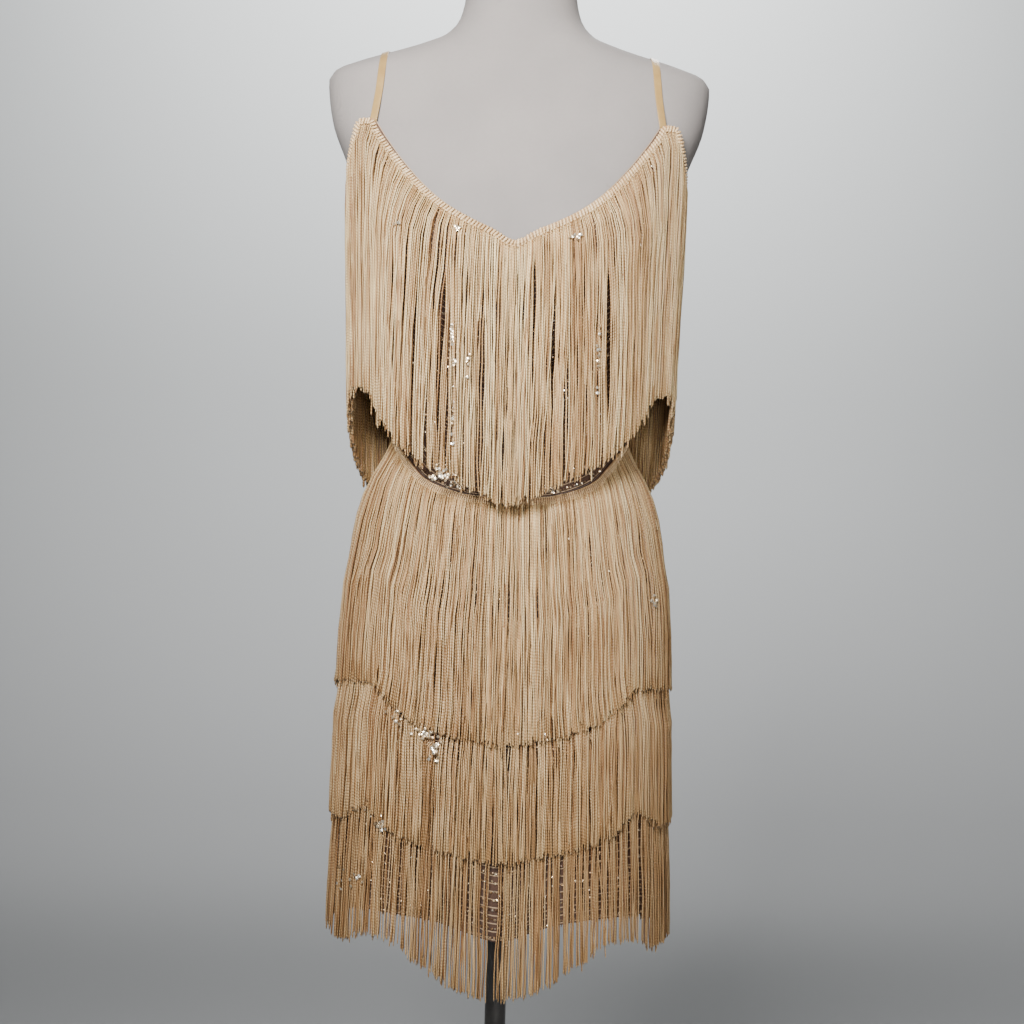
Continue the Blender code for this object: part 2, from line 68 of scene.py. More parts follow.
# every tier hangs from a swag: bearing, top of its header, cut ends of its strands
tiers = {
    "neck": {
        "node": "fringe_neck", "strands": 1480, "seed": 11, "thin": [], "sideLean": 0.038, "thickness": 1.0,
        "partings": [
            (-26, 0.0034, 1.16, 0.90), (-46, 0.0022, 1.20, 1.08), (34, 0.0026, 1.17, 1.02),
            (9, 0.0018, 1.18, 1.00), (-12, 0.0015, 1.12, 0.95), (21, 0.0016, 1.10, 0.96),
        ],
        "swag": [
            (0, 1.188, 0.925), (10, 1.199, 0.933), (20, 1.210, 0.946), (30, 1.2243, 0.960),
            (40, 1.2435, 0.975), (50, 1.2690, 0.998), (56, 1.289, 1.015), (59.5, 1.303, 1.028),
            (62, 1.315, 1.036), (65, 1.315, 1.041), (67.5, 1.299, 1.041), (70, 1.2855, 1.038),
            (73, 1.2735, 1.030), (78, 1.2585, 1.014), (90, 1.245, 0.985), (107, 1.212, 0.945),
            (127.6, 1.180, 0.920), (132.4, 1.180, 0.919), (150, 1.172, 0.914), (180, 1.167, 0.909),
        ],
    },
    "waist": {
        "node": "fringe_waist", "strands": 1380, "seed": 23, "thin": [], "sideLean": 0.0, "thickness": 0.95,
        "partings": [
            (65, 0.0046, 0.925, 0.81), (-72, 0.0030, 0.93, 0.85), (-38, 0.0013, 0.90, 0.80),
            (15, 0.0014, 0.88, 0.80), (-9, 0.0010, 0.84, 0.70),
        ],
        "swag": [
            (0, 0.934, 0.689), (20, 0.936, 0.696), (30, 0.940, 0.702), (37, 0.9445, 0.709),
            (45, 0.952, 0.723), (57, 0.970, 0.744), (75, 0.990, 0.743), (90, 0.997, 0.738),
            (108, 0.985, 0.737), (130, 0.962, 0.722), (155, 0.945, 0.706), (180, 0.940, 0.700),
        ],
    },
    "hip": {
        "node": "fringe_hip", "strands": 1340, "seed": 37, "sideLean": 0.0, "thickness": 0.95,
        "thin": [(-31, 5, 0.45)],
        "partings": [(-31, 0.0030, 0.76, 0.66), (3, 0.0026, 0.78, 0.67), (46, 0.0012, 0.72, 0.62)],
        "swag": [
            (0, 0.811, 0.573), (20, 0.817, 0.580), (38, 0.829, 0.590), (46, 0.839, 0.600),
            (57, 0.856, 0.620), (70, 0.850, 0.603), (90, 0.848, 0.606), (110, 0.844, 0.604),
            (140, 0.829, 0.590), (180, 0.820, 0.582),
        ],
    },
    "hem": {
        "node": "fringe_hem", "strands": 1120, "seed": 53, "sideLean": 0.0, "thickness": 0.76,
        "thin": [(-80, 8, 0.6), (-3, 5, 0.62), (-47, 3, 0.35), (60, 12, 0.15)],
        "partings": [(-3, 0.0026, 0.64, 0.50), (-6, 0.0018, 0.64, 0.50), (-47, 0.0022, 0.62, 0.52)],
        "swag": [
            (0, 0.663, 0.438), (19, 0.672, 0.448), (28, 0.686, 0.463), (36, 0.699, 0.475),
            (46, 0.714, 0.491), (57, 0.716, 0.492), (66, 0.709, 0.481), (90, 0.712, 0.488),
            (110, 0.708, 0.484), (140, 0.691, 0.466), (180, 0.674, 0.448),
        ],
    },
}
tierOrder = ["neck", "waist", "hip", "hem"]
hemEdge = [
    (0, 0.495), (14, 0.503), (27, 0.512), (42, 0.516), (60, 0.517), (72, 0.509), (90, 0.508),
    (120, 0.512), (150, 0.508), (180, 0.500),
]


def readTable(rows, column, at):   # smooth and monotone between the rows
    places = np.array([row[0] for row in rows], dtype=float)
    values = np.array([row[column] for row in rows], dtype=float)
    steps = np.diff(places)
    rises = np.diff(values) / steps
    slopes = np.zeros(len(places))
    before, after = rises[:-1], rises[1:]
    same = before * after > 0
    slopes[1:-1][same] = 2 * before[same] * after[same] / (before[same] + after[same])
    at = np.clip(np.asarray(at, dtype=float), places[0], places[-1])
    index = np.clip(np.searchsorted(places, at, side="right") - 1, 0, len(steps) - 1)
    part = (at - places[index]) / steps[index]
    rest = 1 - part
    return (
        (1 + 2 * part) * rest ** 2 * values[index] + part * rest ** 2 * steps[index] * slopes[index]
        + part ** 2 * (3 - 2 * part) * values[index + 1]
        - part ** 2 * rest * steps[index] * slopes[index + 1]
    )


def wrapBearing(bearing):
    return (np.asarray(bearing, dtype=float) + 180.0) % 360.0 - 180.0


def figureRadius(bearing, height, outset=0.0):
    bearing = wrapBearing(bearing)
    angle = np.radians(bearing)
    sections = figure["sections"]
    halfWidth = readTable(sections, 1, height) + outset
    depth = np.where(
        np.abs(bearing) < 90, readTable(sections, 2, height), readTable(sections, 3, height)
    ) + outset
    power = readTable(sections, 4, height)
    across = np.abs(np.sin(angle)) / halfWidth
    along = np.abs(np.cos(angle)) / depth
    radius = (across ** power + along ** power) ** (-1 / power)
    offBearing = (np.abs(bearing) - figure["bustBearing"]) / figure["bustWide"]
    offHeight = (height - figure["bustHeight"]) / figure["bustTall"]
    return radius + figure["bustRise"] * np.exp(-offBearing ** 2 - offHeight ** 2)


def ringPoint(bearing, height, radius):
    angle = np.radians(bearing)
    return np.stack(
        [radius * np.sin(angle), -radius * np.cos(angle), height + 0.0 * radius], axis=-1
    )


def swagHeight(tier, column, bearing):
    return readTable(tiers[tier]["swag"], column, np.abs(wrapBearing(bearing)))


def hemHeight(bearing):
    return readTable(hemEdge, 1, np.abs(wrapBearing(bearing)))


# shader maths

class Wire:
    def __init__(self, maker, socket):
        self.maker = maker
        self.socket = socket

    def apply(self, kind, other=0.0):
        return self.maker.node("ShaderNodeMath", {"operation": kind}, {0: self, 1: other})

    def __add__(self, other):
        return self.apply("ADD", other)

    def __sub__(self, other):
        return self.apply("SUBTRACT", other)

    def __mul__(self, other):
        return self.apply("MULTIPLY", other)


class Finish:
    def __init__(self, name, **shader):
        self.material = bpy.data.materials.new(name)
        self.material.use_nodes = True
        self.tree = self.material.node_tree
        self.shader = self.tree.nodes["Principled BSDF"]
        for socketName, value in shader.items():
            self.shader.inputs[socketName.replace("_", " ")].default_value = value

    def put(self, socket, value):
        if isinstance(value, Wire):
            self.tree.links.new(value.socket, socket)
        else:
            socket.default_value = (*value, 1) if socket.type == "RGBA" else value

    def node(self, kind, settings=None, inputs=None, output=0):
        made = self.tree.nodes.new(kind)
        for name, value in (settings or {}).items():
            if name == "stops":
                ramp = made.color_ramp
                while len(ramp.elements) < len(value):
                    ramp.elements.new(0.5)
                for element, (position, color) in zip(ramp.elements, value):
                    element.position = position
                    element.color = (*color, 1)
            else:
                setattr(made, name, value)
        for name, value in (inputs or {}).items():
            self.put(made.inputs[name], value)
        return Wire(self, made.outputs[output])

    def feed(self, socketName, value):
        self.put(self.shader.inputs[socketName], value)

    def attribute(self, name):
        return self.node("ShaderNodeAttribute", {"attribute_name": name}, output="Fac")

    def objectPlace(self):
        return self.node("ShaderNodeTexCoord", output="Object")

    def parts(self, place, axes):   # a wire for each letter of axes
        return [self.node("ShaderNodeSeparateXYZ", inputs={0: place}, output=axis) for axis in axes]

    def uvParts(self):
        return self.parts(self.node("ShaderNodeUVMap", {"uv_map": "UVMap"}), "XY")

    def placeParts(self, axes):
        return self.parts(self.objectPlace(), axes)

    def noise(self, scale, detail):
        return self.node("ShaderNodeTexNoise", inputs={
            "Vector": self.objectPlace(), "Scale": scale, "Detail": detail,
        }, output="Fac")

    def ramp(self, value, stops):
        return self.node("ShaderNodeValToRGB", {"stops": stops}, {"Fac": value}, "Color")

    def span(self, value, low, high, newLow=0.0, newHigh=1.0):
        return self.node("ShaderNodeMapRange", inputs={
            "Value": value, "From Min": low, "From Max": high, "To Min": newLow, "To Max": newHigh,
        })

    def wave(self, value, pitch):   # 0 to 1 and back over each pitch
        return (value * (2 * math.pi / pitch)).apply("SINE") * 0.5 + 0.5

    def mixColor(self, factor, first, second, blend="MIX"):
        return self.node(
            "ShaderNodeMix", {"data_type": "RGBA", "blend_type": blend},
            {0: factor, 6: first, 7: second}, 2,
        )

    def bump(self, height, distance, strength):
        return self.node("ShaderNodeBump", inputs={
            "Height": height, "Distance": distance, "Strength": strength,
        })


def makeLinen():
    finish = Finish("form_linen", Roughness=0.92, Sheen_Weight=0.04, Sheen_Roughness=0.5)
    x, y, z = finish.placeParts("XYZ")
    slub = finish.noise(900.0, 2.0)
    warp = finish.wave(x + y * 0.7 + slub * 0.0004, 0.00075)
    weft = finish.wave(z + slub * 0.0004, 0.00075)
    weave = warp * weft
    blotch = finish.noise(7.0, 4.0)
    fine = finish.noise(260.0, 3.0)
    ground = finish.ramp(blotch, [
        (0.30, (0.275, 0.249, 0.232)), (0.52, (0.325, 0.290, 0.268)), (0.72, (0.365, 0.322, 0.296)),
    ])
    threads = finish.mixColor(weave * 0.22 + fine * 0.30, ground, (0.23, 0.208, 0.198))
    marks = finish.noise(46.0, 2.0)
    marked = finish.mixColor(finish.span(marks, 0.73, 0.80, 0.0, 0.5), threads, (0.20, 0.17, 0.16))
    finish.feed("Base Color", marked)
    finish.feed("Normal", finish.bump(weave + slub * 0.5, 0.00018, 0.8))
    return finish.material


def makeMetal():
    finish = Finish("dark_metal", Metallic=0.85, Specular_IOR_Level=0.5)
    scuff = finish.noise(35.0, 6.0)
    grain = finish.noise(420.0, 2.0)
    coat = finish.ramp(scuff, [(0.35, (0.13, 0.125, 0.12)), (0.75, (0.20, 0.19, 0.18))])
    finish.feed("Base Color", coat)
    finish.feed("Roughness", finish.span(scuff, 0.3, 0.8, 0.30, 0.48))
    finish.feed("Normal", finish.bump(grain, 0.00006, 0.5))
    return finish.material


def makeNet():
    finish = Finish("sequin_mesh", Roughness=0.65, Sheen_Weight=0.05)
    across, down = finish.uvParts()
    holesAcross = finish.wave(across + down * 0.35, 0.0011)
    holesDown = finish.wave(down - across * 0.35, 0.0011)
    net = holesAcross.apply("MAXIMUM", holesDown)
    line = finish.span(finish.wave(down, rowPitch), 0.93, 0.985)
    cover = finish.span(net, 0.55, 0.9, 0.80, 0.98)
    tone = finish.noise(60.0, 3.0)
    ground = finish.ramp(tone, [(0.3, (0.060, 0.026, 0.014)), (0.7, (0.11, 0.052, 0.028))])
    finish.feed("Base Color", finish.mixColor(line, ground, (0.50, 0.35, 0.21)))
    finish.feed("Alpha", cover.apply("MAXIMUM", line))
    finish.feed("Normal", finish.bump(net, 0.0001, 0.5))
    return finish.material


def makeSequin():
    finish = Finish("sequin_gold", Metallic=0.80, Coat_Weight=0.5, Coat_Roughness=0.08)
    shade = finish.attribute("shade")
    # painted reflection: the dark sequins stand for ones that mirror dark surroundings, the near-white ones
    # are painted glints
    finish.feed("Base Color", finish.ramp(shade, [
        (0.0, (0.14, 0.075, 0.04)), (0.35, (0.46, 0.28, 0.14)), (0.7, (0.93, 0.72, 0.45)),
        (1.0, (1.0, 0.92, 0.76)),
    ]))
    finish.feed("Roughness", finish.span(shade, 0.0, 1.0, 0.38, 0.20))
    return finish.material


def makeYarn(name, low, middle, high, paintedEdgeShade):
    finish = Finish(name, Specular_IOR_Level=0.50, Sheen_Weight=0.05, Sheen_Roughness=0.35)
    around, down = finish.uvParts()
    shade = finish.attribute("shade")
    tip = finish.attribute("tip")
    patch = finish.noise(26.0, 3.0)
    twist = finish.wave(down + around * 0.0030, 0.0030)
    turned = finish.wave(around, 1.0) * 2.0 - 1.0   # 1 where a strand faces out, -1 where it faces in
    tone = shade * 0.66 + patch * 0.34
    color = finish.ramp(tone, [(0.16, low), (0.48, middle), (0.84, high)])
    # painted shade: the lower tiers are a little darker and redder, as the light falls off towards the hem
    lower = finish.span(*finish.placeParts("Z"), 0.60, 1.02, 1.0, 0.0)
    color = finish.mixColor(lower, color, (0.95, 0.88, 0.84), "MULTIPLY")
    # painted shade: a dark brown laid into the grooves of the twist, and along the sides of each strand
    # below
    paintedShadeColor = [value * share for value, share in zip(low, (0.34, 0.27, 0.20))]
    twistShaded = finish.mixColor(finish.span(twist, 0.0, 0.5, 0.30, 0.0), color, paintedShadeColor)
    # painted shade: each strand is darker along its sides, where it turns from the light and its neighbours
    # shade it
    edgeShadeMask = finish.span(turned.apply("ABSOLUTE"), 0.20, 0.97, paintedEdgeShade, 0.0)
    edgeShaded = finish.mixColor(edgeShadeMask, twistShaded, paintedShadeColor)
    # the points at the cut ends are paler: frayed ends, and partly a painted highlight where the tips catch
    # the light
    finish.feed("Base Color", finish.mixColor(tip * 0.8, edgeShaded, (0.86, 0.68, 0.46)))
    finish.feed("Roughness", finish.span(shade, 0.0, 1.0, 0.46, 0.32))
    finish.feed("Normal", finish.bump(twist, 0.00040, 0.8))
    return finish.material


def makeSatin():
    finish = Finish("strap_satin", Roughness=0.36, Sheen_Weight=0.2, Specular_IOR_Level=0.5)
    across, down = finish.uvParts()
    ribs = finish.wave(across, 0.0009)
    picks = finish.wave(down, 0.0007)
    edge = finish.span(across.apply("ABSOLUTE"), 0.0030, 0.0048)
    cloud = finish.noise(90.0, 3.0)
    ground = finish.ramp(cloud, [(0.3, (0.34, 0.205, 0.065)), (0.7, (0.41, 0.260, 0.088))])
    finish.feed("Base Color", finish.mixColor(edge * 0.7, ground, (0.36, 0.21, 0.08)))
    finish.feed("Normal", finish.bump(ribs * 0.5 + picks * 0.5, 0.00010, 0.7))
    return finish.material


rowPitch = 0.009   # from one row of sequins to the next
linen = makeLinen()
metal = makeMetal()
net = makeNet()
sequinGold = makeSequin()
# the last value is how much painted shade darkens a strand along its sides
yarn = makeYarn("fringe_yarn", (0.37, 0.190, 0.070), (0.66, 0.415, 0.178), (0.97, 0.740, 0.395), 0.96)
braidYarn = makeYarn("braid_yarn", (0.62, 0.39, 0.18), (0.78, 0.53, 0.275), (0.90, 0.66, 0.385), 0.55)
# the header band is a darker yarn: its own tape, and partly painted shadow in the gap under the braid
bandYarn = makeYarn("band_yarn", (0.42, 0.24, 0.11), (0.50, 0.30, 0.145), (0.56, 0.36, 0.18), 0.0)
satin = makeSatin()
print("materials made")


# mesh helpers

def objectMode():
    bpy.ops.object.mode_set(mode="OBJECT")


def editAll():
    bpy.ops.object.mode_set(mode="EDIT")
    bpy.ops.mesh.select_all(action="SELECT")


def fill(items, key, values, kind=np.float32):
    items.foreach_set(key, np.asarray(values, dtype=kind).ravel())


def getPlaces(piece):
    flat = np.empty(len(piece.data.vertices) * 3, dtype=np.float32)
    piece.data.vertices.foreach_get("co", flat)
    return flat.reshape(-1, 3).astype(float)


def linked(name, data):
    thing = bpy.data.objects.new(name, data)
    bpy.context.scene.collection.objects.link(thing)
    return thing


def wrapGrid(name, columns, rows, placeOf, uvSize=None, joinSides=False, fillEnds=False):
    # a flat grid is added and each of its points is carried to its place by placeOf(across, up)
    bpy.ops.mesh.primitive_grid_add(x_subdivisions=columns, y_subdivisions=rows, size=2)
    piece = bpy.context.object
    piece.name = name
    piece.data.name = name
    flat = getPlaces(piece)
    fill(piece.data.vertices, "co", placeOf((flat[:, 0] + 1) / 2, (flat[:, 1] + 1) / 2))
    piece.data.update()
    if uvSize:
        layer = piece.data.uv_layers[0]
        layer.name = "UVMap"
        uv = np.empty(len(layer.data) * 2, dtype=np.float32)
        layer.data.foreach_get("uv", uv)
        fill(layer.data, "uv", uv.reshape(-1, 2) * np.array(uvSize, dtype=np.float32))
    editAll()
    if joinSides:
        bpy.ops.mesh.remove_doubles(threshold=0.00001)
    if fillEnds:
        bpy.ops.mesh.fill_holes(sides=0)
        bpy.ops.mesh.select_all(action="SELECT")
        bpy.ops.mesh.normals_make_consistent(inside=False)
    objectMode()
    bpy.ops.object.shade_smooth()
    return piece


def turnOutward(piece):   # for an open sheet that wraps the figure
    faces = piece.data.polygons
    if sum(face.normal.xy.dot(face.center.xy) for face in faces) < 0:
        piece.data.flip_normals()


def dress(piece, material, nodes=()):
    piece.data.materials.clear()
    piece.data.materials.append(material)
    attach(piece, "root")
    if nodes:
        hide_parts(*nodes)
    return piece


def joinedMesh(name, points, triangles, uv, shade, tip, faceted=False):
    # one mesh of many like pieces; points is piece by point by xyz, and tip holds a value for each point
    count, each = points.shape[:2]
    faces = triangles[None] + (np.arange(count) * each)[:, None, None]
    mesh = bpy.data.meshes.new(name)
    mesh.vertices.add(count * each)
    fill(mesh.vertices, "co", points)
    mesh.loops.add(faces.size)
    fill(mesh.loops, "vertex_index", faces, np.int32)
    mesh.polygons.add(faces.size // 3)
    fill(mesh.polygons, "loop_start", np.arange(0, faces.size, 3), np.int32)
    mesh.update(calc_edges=True)
    fill(mesh.uv_layers.new(name="UVMap").data, "uv", uv)
    for key, values in (("shade", np.repeat(shade, each)), ("tip", np.tile(tip, count))):
        fill(mesh.attributes.new(key, "FLOAT", "POINT").data, "value", values)
    mesh.validate()
    if faceted:
        mesh.shade_flat()
    else:
        mesh.shade_smooth()
    return linked(name, mesh)


def tubes(name, centers, across, out, halfWidth, sides, shade, lengths, pointed):
    # many tubes at once; centers is strand by ring by xyz, and each tube runs to a short point at its foot
    strands, rings = centers.shape[:2]
    turn = 2 * np.pi * np.arange(sides) / sides
    spread = np.cos(turn)[None, None, :, None] * across[:, :, None, :]
    lift = np.sin(turn)[None, None, :, None] * out[:, :, None, :]
    ring = centers[:, :, None, :] + (spread + lift) * halfWidth[:, :, None, None]
    first, last = centers[:, :1], centers[:, -1:] - np.array([0, 0, pointed])
    points = np.concatenate([ring.reshape(strands, -1, 3), first, last], axis=1)

    # two triangles for each side of each ring, then a cap of them at the root and at the point
    side = np.arange(sides)
    following = (side + 1) % sides
    above = np.arange(rings - 1)[:, None] * sides
    a, b, c, d = (corner.ravel() for corner in (
        above + side, above + sides + side, above + sides + following, above + following))
    top, foot = np.full(sides, rings * sides), (rings - 1) * sides
    corners = [(a, b, c), (a, c, d), (top, side, following), (top + 1, foot + following, foot + side)]
    triangles = np.concatenate([np.stack(part, axis=-1) for part in corners])

    roundUv = np.concatenate([np.tile(side / sides, rings), [0.0, 0.0]])
    downUv = np.concatenate([np.repeat(lengths, sides, axis=1), lengths[:, :1], lengths[:, -1:]], axis=1)
    cornerRound = roundUv[triangles]
    seam = (cornerRound.max(axis=1) - cornerRound.min(axis=1)) > 0.5
    cornerRound[seam] = np.where(cornerRound[seam] < 0.5, cornerRound[seam] + 1.0, cornerRound[seam])
    uv = np.stack([
        np.broadcast_to(cornerRound[None], (strands, *cornerRound.shape)), downUv[:, triangles],
    ], axis=-1)
    tip = np.zeros(rings * sides + 2)
    tip[-1] = 1
    return joinedMesh(name, points, triangles, uv, shade, tip)


def scatter(name, model, origins, axisX, axisY, axisZ, shade, faceted=False):
    # joined copies of one small model, each set in its own three axes; the model itself is removed
    base = getPlaces(model)
    triangles = np.array([list(face.vertices) for face in model.data.polygons])
    bpy.data.meshes.remove(model.data)
    points = (
        origins[:, None, :] + base[None, :, 0:1] * axisX[:, None, :]
        + base[None, :, 1:2] * axisY[:, None, :] + base[None, :, 2:3] * axisZ[:, None, :]
    )
    # for ridges of yarn this brings the yarn's painted shade along their sides
    roundUv = 0.25 - 0.25 * base[:, 0] / base[:, 0].max()   # as on a strand that faces out
    corner = np.stack([roundUv[triangles], base[:, 1][triangles]], axis=-1)
    uv = np.broadcast_to(corner[None], (len(origins), *corner.shape))
    return joinedMesh(name, points, triangles, uv, shade, np.zeros(len(base)), faceted)


def smallModel(name, segments, rings, size):
    # a low ball drawn out to a size for a ridge of braid, or with no rings a shallow cone for a sequin
    if rings:
        bpy.ops.mesh.primitive_uv_sphere_add(segments=segments, ring_count=rings, radius=1.0)
    else:
        bpy.ops.mesh.primitive_cone_add(vertices=segments, radius1=1.0, radius2=0.0, depth=2.0)
    model = bpy.context.object
    model.name = name
    editAll()
    bpy.ops.transform.resize(value=size)
    bpy.ops.mesh.quads_convert_to_tris()
    bpy.ops.mesh.normals_make_consistent(inside=False)
    objectMode()
    return model


def unit(vectors):
    return vectors / np.maximum(np.linalg.norm(vectors, axis=-1, keepdims=True), 1e-9)


def figurePoint(bearing, height, outset=0.0):
    return ringPoint(bearing, height, figureRadius(bearing, height, outset))


def surfaceAxes(bearing, height, outset):
    # across to +bearing, up, and out of the figure, at points of its surface
    turn, rise = 0.5, 0.002   # degrees and metres to the points beside it
    here = figurePoint(bearing, height, outset)
    across = unit(figurePoint(bearing + turn, height, outset) - here)
    out = unit(np.cross(across, figurePoint(bearing, height + rise, outset) - here))
    return here, across, np.cross(out, across), out


def walkAlong(points):   # distance along a row of points from the first one
    return np.concatenate([[0], np.cumsum(np.linalg.norm(np.diff(points, axis=0), axis=1))])


# the form

form = {
    "bottom": 0.690, "top": 1.500, "bottomRound": 0.012, "bottomInset": 0.010,
    "topRound": 0.005, "columns": 96, "rows": 112, "roundRows": 5, "samples": 600,
}


def makeForm():
    edge = np.linspace(0, 1, form["roundRows"])
    low, high = form["bottom"] + form["bottomRound"], form["top"] - form["topRound"]
    profile = np.linspace(low, high, form["samples"])
    walk = walkAlong(np.stack([readTable(figure["sections"], 1, profile), profile], axis=-1))
    count = form["rows"] - 2 * form["roundRows"] + 3
    middle = np.interp(np.linspace(0, walk[-1], count), walk, profile)
    turn = edge * math.pi / 2
    lowHeights = form["bottom"] + form["bottomRound"] * (1 - np.cos(turn))
    lowOutsets = -form["bottomInset"] * (1 - np.sin(turn))
    highHeights = form["top"] - form["topRound"] * (1 - np.sin(turn))
    highOutsets = -form["topRound"] * (1 - np.cos(turn))
    heights = np.concatenate([lowHeights[:-1], middle, highHeights[1:]])
    outsets = np.concatenate([lowOutsets[:-1], 0 * middle, highOutsets[1:]])

    def placeOf(across, up):
        row = np.clip(np.round(up * form["rows"]).astype(int), 0, len(heights) - 1)
        bearing = -180 + 360 * across
        return figurePoint(bearing, heights[row], outsets[row])

    body = wrapGrid("formBody", form["columns"], form["rows"], placeOf, joinSides=True, fillEnds=True)
    return dress(body, linen, ["form_torso"])


formBody = makeForm()
print("form made")


# the stand

stand = {
    # name: radius, foot, top, points round, edge rounding, steps of the rounding, node
    "footPlate": (0.170, 0.0, 0.010, 128, 0.003, 4, "stand_base"),
    "pole": (0.011, 0.0103, 0.6897, 48, 0.0008, 2, "stand_pole"),
}


def makeRound(name, radius, foot, top, vertices, rounding, segments, node):
    bpy.ops.mesh.primitive_cylinder_add(
        vertices=vertices, radius=radius, depth=top - foot, location=(0, 0, (top + foot) / 2),
    )
    piece = bpy.context.object
    piece.name = name
    bpy.ops.object.transform_apply(location=True)
    edges = piece.modifiers.new("edges", "BEVEL")
    edges.width = rounding
    edges.segments = segments
    edges.limit_method = "ANGLE"
    bpy.ops.object.modifier_apply(modifier="edges")
    bpy.ops.object.shade_smooth_by_angle(angle=math.radians(35))
    dress(piece, metal, [node])


for name, sizes in stand.items():
    makeRound(name, *sizes)
print("stand made")


# the cloth: thin net, with a few soft folds

cloth = {
    "outset": 0.0042, "seam": 0.0002, "seamRadius": 0.15, "waistGap": 0.0004, "columns": 84,
    "foldTall": 0.45,
    # bearing, width in degrees, depth of the fold, where it is deepest from the top
    "folds": [
        (-62, 5, 0.0010, 0.8), (-38, 7, 0.0007, 1.0), (-14, 6, 0.0006, 0.9), (17, 6, 0.0007, 1.0),
        (44, 5, 0.0008, 0.8), (69, 6, 0.0010, 0.9), (112, 6, 0.0009, 0.9), (141, 7, 0.0007, 1.0),
        (168, 6, 0.0008, 0.8), (-107, 6, 0.0009, 1.0), (-133, 6, 0.0007, 0.9), (-161, 7, 0.0008, 0.8),
    ],
}


def foldDepth(bearing, down):
    depth = 0 * bearing
    for place, width, rise, deepest in cloth["folds"]:
        off = wrapBearing(bearing - place) / width
        depth = depth + rise * np.exp(-off ** 2) * np.exp(-((down - deepest) / cloth["foldTall"]) ** 2)
    return depth


neckTop = partial(swagHeight, "neck", 1)
waistTop = partial(swagHeight, "waist", 1)


def waistUpper(bearing):
    return waistTop(bearing) + cloth["waistGap"]


panelPlans = {
    # node: first and last bearing, top edge, lower edge, rows, folded, flat width and length
    "bodice_front": (-90, 90, neckTop, waistUpper, 56, False, (0.440, 0.390)),
    "skirt_front": (-90, 90, waistTop, hemHeight, 80, True, (0.470, 0.502)),
    "bodice_back": (90, 270, neckTop, waistUpper, 56, False, (0.400, 0.305)),
    "skirt_back": (90, 270, waistTop, hemHeight, 80, True, (0.500, 0.497)),
}


def pieceName(start, node):
    return start + node.title().replace("_", "")


def makePanel(node, firstBearing, lastBearing, topOf, bottomOf, rows, folded, flat):
    halfSeam = math.degrees(cloth["seam"] / cloth["seamRadius"])

    def placeOf(across, up):
        bearing = firstBearing + halfSeam + (lastBearing - firstBearing - 2 * halfSeam) * across
        top, bottom = topOf(bearing), bottomOf(bearing)
        height = bottom + (top - bottom) * up
        depth = foldDepth(bearing, 1 - up) if folded else 0.0
        return ringPoint(bearing, height, figureRadius(bearing, height, cloth["outset"]) - depth)

    panel = wrapGrid(pieceName("net", node), cloth["columns"], rows, placeOf, uvSize=flat)
    turnOutward(panel)
    dress(panel, net, [node])
    area = sum(face.area for face in panel.data.polygons)
    print(panel.name, len(panel.data.polygons), "faces", round(area, 4), "square metres")
    return panel, area


panels = {node: makePanel(node, *plan) for node, plan in panelPlans.items()}
print("cloth made")


# sequins in rows on the net

sequins = {
    "pitch": 0.0034, "jitter": 0.0005, "rise": 0.0004, "edge": 0.004, "first": 0.002, "sideGap": 0.8,
    "size": 0.00150, "thick": 0.00022, "outset": 0.0054, "tilt": 0.50, "tiltUp": 0.15,
    # shade places each sequin on the gold ramp, from painted dark reflection to painted glint
    "missing": 0.03, "shade": (0.45, 0.30), "samples": 721, "lengths": 37,
    "seeds": {"bodice_front": 5, "skirt_front": 15, "bodice_back": 6, "skirt_back": 16},
}


def laySequins(name, settings, rng, origin, across, up, out):
    # shallow cones on a surface, each tilted a little
    count, size = len(origin), settings["size"]
    leanA = rng.normal(0, settings["tilt"], count)[:, None]
    leanB = rng.normal(sequins["tiltUp"], settings["tilt"], count)[:, None]
    axisZ = unit(out + across * leanA + up * leanB)
    axisX = unit(across - axisZ * (across * axisZ).sum(axis=1, keepdims=True))
    model = smallModel("sequinModel", segments=6, rings=0, size=(size, size, sequins["thick"]))
    shade = np.clip(rng.normal(*settings["shade"], count), 0, 1)
    piece = scatter(name, model, origin, axisX, np.cross(axisZ, axisX), axisZ, shade, faceted=True)
    print(name, count, "sequins")
    return dress(piece, sequinGold)


def makeSequins(node, firstBearing, lastBearing, topOf, bottomOf):
    rng = np.random.default_rng(sequins["seeds"][node])
    bearings, heights = [], []
    coarse = np.linspace(firstBearing, lastBearing, sequins["lengths"])
    longest = float(np.max(topOf(coarse) - bottomOf(coarse)))
    gap = sequins["sideGap"]
    fine = np.linspace(firstBearing + gap, lastBearing - gap, sequins["samples"])
    for row in range(int(longest / rowPitch)):
        # rows run level with the lower edge and stop where the top edge cuts them
        height = bottomOf(fine) + sequins["edge"] + rowPitch * row
        walk = walkAlong(figurePoint(fine, height, sequins["outset"]))
        places = np.arange(sequins["first"], walk[-1], sequins["pitch"])
        places = places + rng.uniform(-sequins["jitter"], sequins["jitter"], len(places))
        bearing = np.interp(places, walk, fine)
        level = np.interp(places, walk, height) + rng.normal(0, sequins["rise"], len(places))
        keep = (level < topOf(bearing) - sequins["edge"]) & (rng.random(len(places)) > sequins["missing"])
        bearings.append(bearing[keep])
        heights.append(level[keep])
    axes = surfaceAxes(np.concatenate(bearings), np.concatenate(heights), sequins["outset"])
    return laySequins(pieceName("sequins", node), sequins, rng, *axes)


sequinPieces = {node: makeSequins(node, *plan[:4]) for node, plan in panelPlans.items()}
print("sequins made")


# fringe

